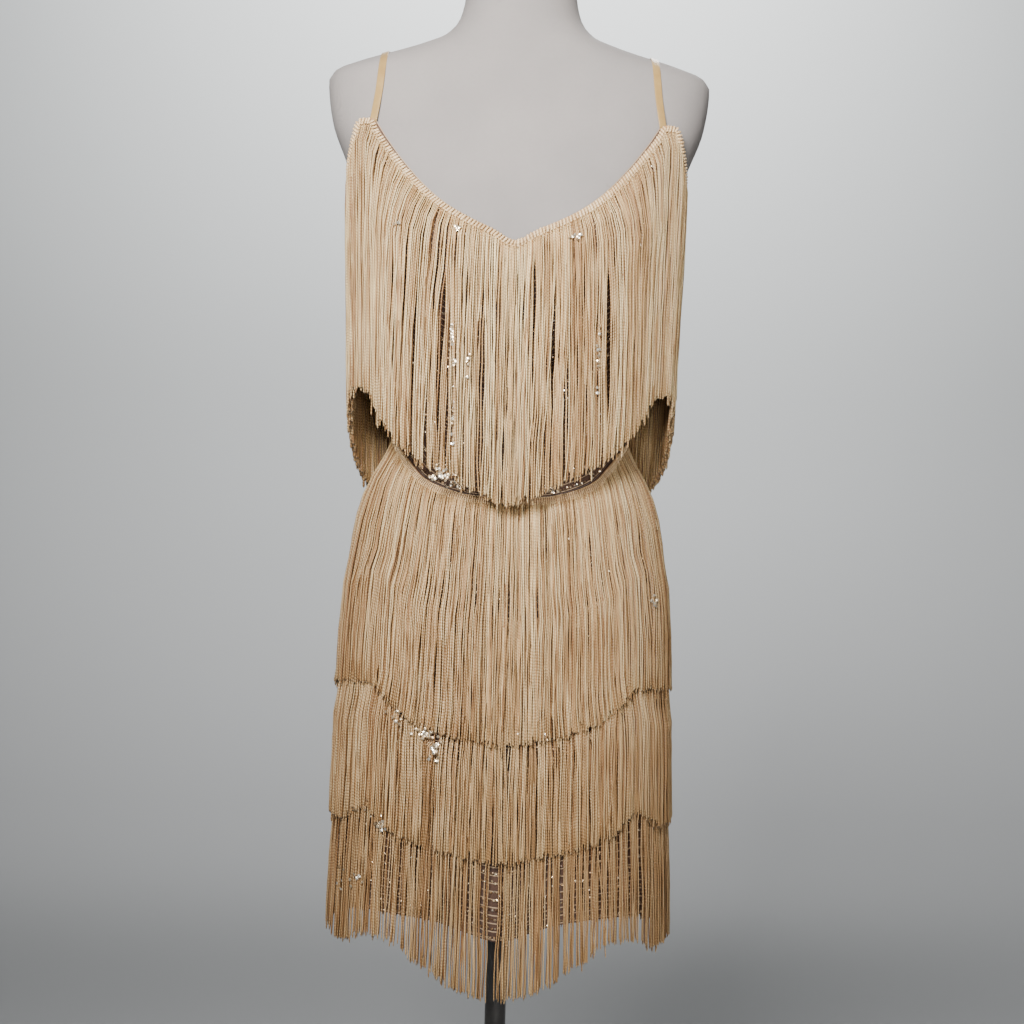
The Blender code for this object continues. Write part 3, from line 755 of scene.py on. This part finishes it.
fringe = {
    "inner": 0.0068, "layerPitch": 0.0038, "layerLead": 0.008, "layerStagger": 0.016, "layerRun": 0.010,
    "depth": 0.0040, "depthSpread": 0.00025, "depthRoot": 0.25, "depthRun": 0.02,
    "halfWidth": 0.00082, "widthSpread": 0.09, "rootWidth": 0.8, "endWidth": 1.1,
    "sides": 4, "rings": 12, "ringsUp": 1.15, "fineSteps": 60, "samples": 2881, "tipLength": 0.0022,
    "rootDrop": 0.0045, "jitter": 0.42, "softSteps": 2,
    # cut ends: the usual spread, the share that is ragged and its spread, and the limits of both
    "trim": 0.0016, "raggedShare": 0.08, "ragged": 0.006, "shortest": -0.012, "longest": 0.014,
    # the strands of the neck tier slide outward over the bust before they hang
    "fanShift": 0.013, "fanSpread": 0.10, "fanFall": 0.045, "fanBearing": 44.0, "fanWide": 20.0,
    # wavelength along the header and reach of the clumps, in metres
    "clumps": [(0.0054, 0.0008), (0.0088, 0.0010), (0.0163, 0.0012), (0.031, 0.0014)], "clumpGrowth": 0.8,
    # at the sides, where the neck tier is seen through, strands hang evenly and are thicker
    "sideRun": 12.0, "calmFrom": 82.0, "calm": 0.7, "thickFrom": 80.0, "thicker": 0.4,
    "partSpread": 0.009, "partRun": 0.035,
    "drift": 0.0016, "strays": 0.045, "strayDrift": 0.007, "strayBend": 1.5,
    # a slight waver: shortest and longest wave, then reach, start and stretch across and outward
    "waver": (0.045, 0.12), "waverAcross": (0.0004, 0.03, 1.0), "waverOut": (0.0005, 0.04, 1.3),
    # painted shade: the inner layers of strands are a little darker, the outer ones lighter
    "shade": (0.5, 0.25), "paintedLayerShade": 0.12, "twistStart": 0.01,
}


def headerWalk(tier):
    bearing = np.linspace(-180, 180, fringe["samples"])
    top = swagHeight(tier, 1, bearing)
    return bearing, walkAlong(figurePoint(bearing, top, fringe["inner"]))


def hangingRadius(tier, bearing, height, end):
    # down each row the strands fall from the widest place above, and step out over the tiers below
    layers = np.zeros_like(height)
    for between, lower in enumerate(tierOrder[tierOrder.index(tier) + 1:]):
        crossing = swagHeight(lower, 1, bearing) + fringe["layerLead"] + fringe["layerStagger"] * between
        layers += np.clip((crossing - height) / fringe["layerRun"] + 1, 0, 1) * (end < crossing)
    nearest = figureRadius(bearing, height, fringe["inner"] + fringe["layerPitch"] * layers)
    lean = tiers[tier]["sideLean"] * np.sin(np.radians(bearing)) ** 2 * (height[:, :1] - height)
    radius = np.maximum(nearest, np.maximum.accumulate(nearest, axis=1) - lean)
    reach = fringe["softSteps"]
    padded = np.pad(radius, ((0, 0), (reach, reach)), mode="edge")
    shifts = range(2 * reach + 1)
    soft = sum(padded[:, shift:shift + radius.shape[1]] for shift in shifts) / len(shifts)
    return np.maximum(radius, soft)


def ramped(drop, run):
    return np.clip(drop / run, 0, 1)


def fanOut(tier, bearing, rng):
    if tier != "neck":
        return np.zeros(len(bearing))
    fan = np.exp(-((np.abs(bearing) - fringe["fanBearing"]) / fringe["fanWide"]) ** 2) * np.sign(bearing)
    return fan * fringe["fanShift"] * rng.normal(1.0, fringe["fanSpread"], len(bearing))


def openPartings(plan, bearing, top, height):
    sideways = np.zeros_like(height)
    for place, gap, start, stop in plan["partings"]:
        away = np.radians(wrapBearing(bearing - place)) * figureRadius(bearing, top, fringe["inner"])
        push = np.where(away < 0, -1, 1) * gap * np.exp(-np.abs(away) / fringe["partSpread"])
        started = ramped(start - height, fringe["partRun"])
        ended = np.clip((height - stop) / fringe["partRun"] + 0.5, 0, 1)
        sideways += push[:, None] * started * ended
    return sideways


def makeFringe(tier):
    plan = tiers[tier]
    rng = np.random.default_rng(plan["seed"])
    count, steps = plan["strands"], fringe["fineSteps"]
    ringBearing, walk = headerWalk(tier)
    jitter = rng.uniform(-fringe["jitter"], fringe["jitter"], count)
    places = (np.arange(count) + 0.5 + jitter) / count * walk[-1]
    bearing = np.interp(places, walk, ringBearing)
    thin = np.zeros(count)
    for place, spread, share in plan["thin"]:
        thin = np.maximum(thin, share * np.exp(-(wrapBearing(bearing - place) / spread) ** 2))
    kept = rng.random(count) > thin
    places, bearing = places[kept], bearing[kept]
    top = swagHeight(tier, 1, bearing)
    count = len(places)

    # heights down each strand, from its root to its cut end
    fan = fanOut(tier, bearing, rng)
    hung = bearing + np.degrees(fan / figureRadius(bearing, top, fringe["inner"]))
    root = top - fringe["rootDrop"]
    trim = rng.normal(0, fringe["trim"], count)
    trim += np.where(rng.random(count) < fringe["raggedShare"], rng.normal(0, fringe["ragged"], count), 0)
    end = swagHeight(tier, 2, hung) + np.clip(trim, fringe["shortest"], fringe["longest"])
    height = root[:, None] + (end - root)[:, None] * np.linspace(0, 1, steps)[None, :]
    drop = root[:, None] - height
    length = (root - end)[:, None]

    # how far each strand strays sideways: fan, partings, clumps, drift, strays and waver
    sideways = fan[:, None] * (1 - np.exp(-drop / fringe["fanFall"]))
    sideways += openPartings(plan, bearing, top, height)
    layerOf = rng.integers(0, 3, count)
    calm = 1 - fringe["calm"] * ramped(np.abs(bearing) - fringe["calmFrom"], fringe["sideRun"])
    for wavelength, reach in fringe["clumps"]:
        waves = max(1, round(walk[-1] / wavelength))
        turns = rng.uniform(0, 2 * np.pi, 3)[layerOf]
        pull = np.sin(2 * np.pi * waves * places / walk[-1] + turns)
        sideways += (pull * reach * calm)[:, None] * ramped(drop, length) ** fringe["clumpGrowth"]
    sideways += rng.normal(0, fringe["drift"], count)[:, None] * drop / length
    strays = rng.random(count) < fringe["strays"]
    stray = np.where(strays, rng.normal(0, fringe["strayDrift"], count), 0)
    sideways += stray[:, None] * (drop / length) ** fringe["strayBend"]
    waver = rng.uniform(*fringe["waver"], count)[:, None]

    def waved(reach, run, stretch):
        turns = rng.uniform(0, 6.28, count)[:, None]
        return reach * np.sin(2 * np.pi * drop / (waver * stretch) + turns) * ramped(drop, run)

    sideways += waved(*fringe["waverAcross"])

    # distance from the dress's middle
    near = figureRadius(bearing[:, None], height, fringe["inner"])
    turned = bearing[:, None] + np.degrees(sideways / near)
    radius = hangingRadius(tier, turned, height, end[:, None])
    within = layerOf / 2.0 * fringe["depth"] + rng.normal(0, fringe["depthSpread"], count)
    radius = radius + within[:, None] * np.clip(fringe["depthRoot"] + drop / fringe["depthRun"], 0, 1)
    radius += waved(*fringe["waverOut"])

    # the few rings that each tube keeps, closer together near the root
    share = np.linspace(0, 1, fringe["rings"])[None, :] ** fringe["ringsUp"]
    at = share * (1 - fringe["tipLength"] / length) * (steps - 1)
    low = np.minimum(at.astype(int), steps - 2)
    part = at - low
    turned, height, radius, drop = (
        np.take_along_axis(a, low, 1) * (1 - part) + np.take_along_axis(a, low + 1, 1) * part
        for a in (turned, height, radius, drop)
    )
    angle = np.radians(turned)
    across = np.stack([np.cos(angle), np.sin(angle), 0 * angle], axis=-1)
    out = np.stack([np.sin(angle), -np.cos(angle), 0 * angle], axis=-1)
    size = rng.normal(1.0, fringe["widthSpread"], count)[:, None] * np.ones((1, fringe["rings"]))
    size *= plan["thickness"]
    if tier == "neck":
        thick = ramped(np.abs(bearing) - fringe["thickFrom"], fringe["sideRun"])
        size *= 1 + fringe["thicker"] * thick[:, None]
    size[:, 0] *= fringe["rootWidth"]
    size[:, -1] *= fringe["endWidth"]
    # painted shade: strands of the inner layers are darker, those of the outer layer lighter
    shade = np.clip(rng.normal(*fringe["shade"], count) + fringe["paintedLayerShade"] * (layerOf - 1), 0, 1)
    twistFrom = rng.uniform(0, fringe["twistStart"], count)[:, None]
    piece = tubes(
        "fringe" + tier.title(), ringPoint(turned, height, radius), across, out,
        fringe["halfWidth"] * size, fringe["sides"], shade, drop + twistFrom, fringe["tipLength"],
    )
    print(piece.name, count, "strands", len(piece.data.polygons), "triangles")
    return dress(piece, yarn, [plan["node"]])


fringePieces = {name: makeFringe(name) for name in tierOrder}
print("fringe made")


# loose sequins that show on and between the strands

loose = {
    # bearing, height, spread in degrees, spread in height, number, tier they lie on or None for the cloth
    "groups": [
        (-23.6, 1.092, 0.4, 0.011, 24, "neck"), (-22.8, 1.068, 0.4, 0.008, 11, "neck"),
        (-17.5, 1.062, 0.5, 0.012, 7, "neck"), (-22.5, 1.010, 0.6, 0.028, 16, "neck"),
        (-26, 0.955, 3.6, 0.006, 34, "neck"), (-27, 0.948, 5.0, 0.006, 40, None),
        (-38, 0.968, 5.0, 0.006, 24, None), (22, 0.945, 6.0, 0.005, 26, None),
        (38, 0.966, 6.0, 0.006, 26, None), (-32, 0.700, 3.6, 0.007, 34, "hip"),
        (-27.5, 0.682, 2.2, 0.010, 22, "hip"), (-44, 0.712, 3.0, 0.006, 8, "hip"),
        (-49, 0.603, 2.2, 0.008, 20, "hem"), (-60, 0.622, 3.0, 0.008, 12, "hem"),
        (3, 0.530, 1.6, 0.022, 20, None),
        (-22, 1.196, 1.6, 0.004, 6, "neck"), (-46, 1.204, 2.0, 0.003, 5, "neck"),
        (24, 1.192, 2.6, 0.003, 7, "neck"), (33, 1.090, 0.8, 0.045, 10, "neck"),
        (66, 0.832, 2.0, 0.008, 12, "waist"), (-62, 0.545, 7.0, 0.014, 14, "hem"),
        (14, 0.700, 6.0, 0.006, 14, "hip"),
    ],
    # the loose sequins lie mostly at the bright end of the ramp: painted glints
    "above": 0.0060, "onCloth": 0.0062, "size": 0.0018, "tilt": 0.35, "shade": (0.78, 0.16),
    "seed": 71, "columns": 24, "spreads": 1.7,
}


def makeLooseSequins():
    rng = np.random.default_rng(loose["seed"])
    laid = []
    for bearing, height, spread, rise, count, tier in loose["groups"]:
        bearings = bearing + rng.normal(0, spread / loose["spreads"], count)
        heights = height + rng.normal(0, rise / loose["spreads"], count)
        if tier is None:
            radius = figureRadius(bearings, heights, loose["onCloth"])
        else:
            top = swagHeight(tier, 1, bearings)
            share = np.linspace(0, 1, loose["columns"])[None, :]
            down = top[:, None] + (heights - top)[:, None] * share
            end = swagHeight(tier, 2, bearings)
            radius = hangingRadius(tier, bearings[:, None] + 0 * down, down, end[:, None])[:, -1]
            radius = radius + loose["above"]
        laid.append((ringPoint(bearings, heights, radius), *surfaceAxes(bearings, heights, 0.0)[1:]))
    return laySequins("sequinsLoose", loose, rng, *(np.concatenate(part) for part in zip(*laid)))


makeLooseSequins()
print("loose sequins made")


# headers: a slanted braid round the neck, upright ribs on the lower tiers

header = {
    # rows of ridges: height below the top edge, pitch, half sizes, lean along the edge
    "neck": [
        (0.0034, 0.0035, (0.00165, 0.0043, 0.0016), 0.30), (0.0088, 0.0035, (0.0013, 0.00040, 0.0005), 0.0),
    ],
    "lower": [
        (0.0040, 0.0022, (0.00078, 0.0041, 0.0010), 0.08), (0.0004, 0.0030, (0.0019, 0.00055, 0.0006), 0.0),
    ],
    "outset": 0.0084, "jitter": 0.05, "turn": 0.4, "shade": (0.58, 0.16), "grow": 0.07, "seedStep": 100,
    "bandOutset": 0.0070, "bandTall": 0.0092, "bandColumns": 480, "bandRows": 3, "bandThick": 0.0006,
    "bandUv": (1.1, 0.008),
}


# the band shows as a dark line beneath the ridges, partly as painted shadow
def makeBand(tier):
    def placeOf(across, up):
        bearing = -180 + 360 * across
        height = swagHeight(tier, 1, bearing) - header["bandTall"] * (1 - up)
        return figurePoint(bearing, height, header["bandOutset"])

    band = wrapGrid(
        "band" + tier.title(), header["bandColumns"], header["bandRows"], placeOf,
        uvSize=header["bandUv"], joinSides=True,
    )
    turnOutward(band)
    wall = band.modifiers.new("thickness", "SOLIDIFY")
    wall.thickness = header["bandThick"]
    wall.offset = 0
    bpy.ops.object.modifier_apply(modifier="thickness")
    return dress(band, bandYarn)


def alongHeader(tier, below, pitch, rng):
    # places at a pitch along the header, with the directions along it, square to it and out
    ringBearing, walk = headerWalk(tier)
    places = np.arange(0, walk[-1] - pitch / 2, walk[-1] / round(walk[-1] / pitch))
    places = places + rng.normal(0, header["jitter"] * pitch, len(places))
    bearing = np.interp(places, walk, ringBearing)
    origin, after, before = (
        figurePoint(at, swagHeight(tier, 1, at) - below, header["outset"])
        for at in (bearing, bearing + header["turn"], bearing - header["turn"])
    )
    out = surfaceAxes(bearing, origin[:, 2], header["outset"])[3]
    along = unit(after - before)
    square = unit(np.cross(out, along))
    return origin, along, square, unit(np.cross(along, square))


def makeHeader(tier):
    rng = np.random.default_rng(tiers[tier]["seed"] + header["seedStep"])
    bpy.ops.object.select_all(action="DESELECT")
    made = []
    for below, pitch, size, lean in header["neck" if tier == "neck" else "lower"]:
        origin, along, square, out = alongHeader(tier, below, pitch, rng)
        axisY = unit(square + along * lean)
        axisX = unit(np.cross(axisY, out))
        model = smallModel("ridgeModel", segments=8, rings=4, size=size)
        shade = np.clip(rng.normal(*header["shade"], len(origin)), 0, 1)
        grow = rng.normal(1.0, header["grow"], len(origin))[:, None]
        name = "header" + tier.title()
        made.append(scatter(name, model, origin, axisX * grow, axisY * grow, out, shade))
    for piece in made:
        piece.select_set(True)
    bpy.context.view_layer.objects.active = made[0]
    bpy.ops.object.join()
    return dress(made[0], braidYarn)


headers = {name: makeHeader(name) for name in tierOrder}
bands = {name: makeBand(name) for name in tierOrder}
print("headers made")


# straps: flat satin elastic over the shoulders

strap = {
    "width": 0.008, "cutWidth": 0.010, "cutShare": 0.9, "thick": 0.0013, "lift": 0.0016,
    "endLift": 0.0046, "endShare": 6, "frontBearing": 63.5, "backBearing": 130.0, "tuck": 0.004,
    # the strap is found on the form by rays to a core line inside the shoulder
    "coreHeight": 1.285, "coreSpread": 0.136, "coreShare": 4, "coreFall": 1.6, "rayLong": 0.4,
    "steps": 72, "sides": 16, "smoothing": 6, "squareAcross": 0.35, "squareUp": 0.6,
}


def strapRoute(formTree):
    ends = []
    for bearing in (strap["frontBearing"], strap["backBearing"]):
        height = float(neckTop(bearing)) - strap["tuck"]
        ends.append(figurePoint(bearing, height))
    angles = [math.atan2(end[2] - strap["coreHeight"], -end[1]) for end in ends]
    if angles[1] < 0:
        angles[1] += 2 * math.pi
    points, normals = [], []
    for share in np.linspace(0, 1, strap["steps"] + 1):
        angle = angles[0] + (angles[1] - angles[0]) * share
        shoulder = min(1.0, strap["coreShare"] * min(share, 1 - share))
        shoulder *= max(0.0, 1 - strap["coreFall"] * share)
        endSpread = ends[0][0] + (ends[1][0] - ends[0][0]) * share ** 2
        spread = endSpread + (strap["coreSpread"] - endSpread) * shoulder
        ray = Vector((0, -math.cos(angle), math.sin(angle)))
        start = Vector((spread, 0, strap["coreHeight"])) + ray * strap["rayLong"]
        hit, normal, _, _ = formTree.ray_cast(start, -ray)
        points.append(hit)
        normals.append(normal)
    return np.array(points), np.array(normals)


def makeStrap(name, side, node, formTree):
    points, normals = strapRoute(formTree)
    for _ in range(strap["smoothing"]):
        for array in (points, normals):
            array[1:-1] = array[:-2] / 4 + array[1:-1] / 2 + array[2:] / 4
    normals = unit(normals)
    share = np.linspace(0, 1, len(points))
    nearEnd = 1 - strap["endShare"] * np.minimum(share, 1 - share)
    lift = np.maximum(strap["lift"], strap["endLift"] * nearEnd)
    points = points + normals * lift[:, None]
    along = unit(np.gradient(points, axis=0))
    across = unit(np.cross(along, normals))
    normals = unit(np.cross(across, along))
    turn = 2 * np.pi * np.arange(strap["sides"] + 1) / strap["sides"]
    flatX = np.sign(np.cos(turn)) * np.abs(np.cos(turn)) ** strap["squareAcross"] * strap["width"] / 2
    flatZ = np.sign(np.sin(turn)) * np.abs(np.sin(turn)) ** strap["squareUp"] * strap["thick"] / 2
    walk = walkAlong(points)

    def placeOf(acrossShare, upShare):
        ring = np.round(upShare * strap["steps"]).astype(int)
        column = np.round(acrossShare * strap["sides"]).astype(int)
        place = points[ring] + across[ring] * flatX[column][:, None]
        place += normals[ring] * flatZ[column][:, None]
        place[:, 0] *= side
        return place

    piece = wrapGrid(
        name, strap["sides"], strap["steps"], placeOf, uvSize=(1.0, 1.0), joinSides=True, fillEnds=True,
    )
    layer = piece.data.uv_layers["UVMap"].data   # across in metres from the middle, down in metres
    where = getPlaces(piece)
    where[:, 0] *= side
    for loop in piece.data.loops:
        point = where[loop.vertex_index]
        nearest = int(np.argmin(((points - point) ** 2).sum(axis=1)))
        offset = np.dot(point - points[nearest], across[nearest])
        layer[loop.index].uv = (float(offset), float(walk[nearest]))
    return dress(piece, satin, [node]), float(walk[-1])


formTree = BVHTree.FromObject(formBody, bpy.context.evaluated_depsgraph_get())
strapRight, strapLong = makeStrap("strapRight", 1, "strap_right", formTree)
strapLeft, _ = makeStrap("strapLeft", -1, "strap_left", formTree)
print("straps made,", round(strapLong, 3), "m each")


# what lies on each piece of cloth, and the strap's cut length, are worked out here but not used

for node in ("bodice_front", "bodice_back", "skirt_front", "skirt_back"):
    onIt = [sequinPieces[node]]
    if node == "bodice_front":
        onIt += [fringePieces["neck"], headers["neck"], bands["neck"]]
    if node == "skirt_front":
        onIt += [made[name] for made in (fringePieces, headers, bands) for name in tierOrder[1:]]
for piece in (strapRight, strapLeft):   # elastic, cut wider and shorter than it is stretched
    round(strapLong * strap["cutShare"], 3)


# floor, lights and camera

studio = {
    # a floor that bends up into a far wall, clear of cameras behind the dress
    "sweep": {
        "front": -5.0, "back": 3.9, "bend": 1.3, "high": 5.2, "halfWide": 5.5, "columns": 8, "rows": 90,
    },
    # floor and wall colours are blended by height from wallFrom to wallTo: painted light, darker low down
    # and paler up the wall
    "floorColor": (0.40, 0.405, 0.41), "wallColor": (0.86, 0.89, 0.89), "cloudColor": (0.36, 0.37, 0.38),
    "wallFrom": 0.12, "wallTo": 2.6,
    # place, aim, size, power, how wide its beam is in degrees
    "lights": {
        "key": ((-0.42, -1.80, 1.88), (0.0, -0.10, 1.42), 0.6, 21.0, 78.0),
        "front": ((0.30, -2.30, 1.10), (0.0, 0.0, 1.16), 0.7, 2.5, 57.0),
        "fill": ((1.9, -1.7, 1.7), (0.0, 0.0, 1.2), 1.4, 2.4, 120.0),
        "wall": ((0.0, 1.9, 3.9), (0.0, 3.9, 2.35), 1.6, 72.0, 108.0),
        "back": ((0.7, 2.3, 3.0), (0.0, 0.0, 1.0), 1.2, 9.0, 70.0),
    },
    "world": (0.88, 0.89, 0.90), "worldStrength": 0.17,
}


def makeStage():
    sweep = studio["sweep"]
    flat = sweep["back"] - sweep["bend"] - sweep["front"]
    quarter = sweep["bend"] * math.pi / 2
    total = flat + quarter + sweep["high"] - sweep["bend"]

    def placeOf(across, up):
        walk = up * total
        turn = np.clip((walk - flat) / sweep["bend"], 0, math.pi / 2)
        y = sweep["front"] + np.minimum(walk, flat) + sweep["bend"] * np.sin(turn)
        z = sweep["bend"] * (1 - np.cos(turn)) + np.maximum(walk - flat - quarter, 0)
        return np.stack([(2 * across - 1) * sweep["halfWide"], y, z], axis=-1)

    floor = wrapGrid("floor", sweep["columns"], sweep["rows"], placeOf)
    if floor.data.polygons[0].normal.z < 0:
        floor.data.flip_normals()
    paint = Finish("floor_paint", Roughness=0.95)
    cloud = paint.noise(0.8, 2.0)
    # painted light falloff: darker towards the floor, paler up the wall
    paintedLightRamp = paint.span(*paint.placeParts("Z"), studio["wallFrom"], studio["wallTo"])
    ground = paint.mixColor(paintedLightRamp, studio["floorColor"], studio["wallColor"])
    paint.feed("Base Color", paint.mixColor(cloud * 0.10, ground, studio["cloudColor"]))
    floor.data.materials.append(paint.material)


def makeLights():
    for name, (place, aim, size, power, spread) in studio["lights"].items():
        light = bpy.data.lights.new(name, "AREA")
        light.size = size
        light.energy = power
        light.spread = math.radians(spread)
        lamp = linked(name + "Light", light)
        lamp.location = place
        lamp.rotation_euler = (Vector(aim) - Vector(place)).to_track_quat("-Z", "Y").to_euler()
    world = bpy.data.worlds.new("studioWorld")
    bpy.context.scene.world = world
    world.use_nodes = True
    background = world.node_tree.nodes["Background"]
    background.inputs["Color"].default_value = (*studio["world"], 1)
    background.inputs["Strength"].default_value = studio["worldStrength"]


camera = {"place": (0.004, -2.0, 0.92), "focal": 1900.0, "frame": 1024, "sensor": 36.0, "roll": -1.5}


def makeCamera():
    lens = bpy.data.cameras.new("camera")
    lens.sensor_width = camera["sensor"]
    lens.lens = camera["focal"] / camera["frame"] * camera["sensor"]
    eye = linked("camera", lens)
    eye.location = camera["place"]
    eye.rotation_euler = Euler((math.radians(90), math.radians(camera["roll"]), 0))
    bpy.context.scene.camera = eye


makeStage()
makeLights()
makeCamera()
print("stage, lights and camera made")
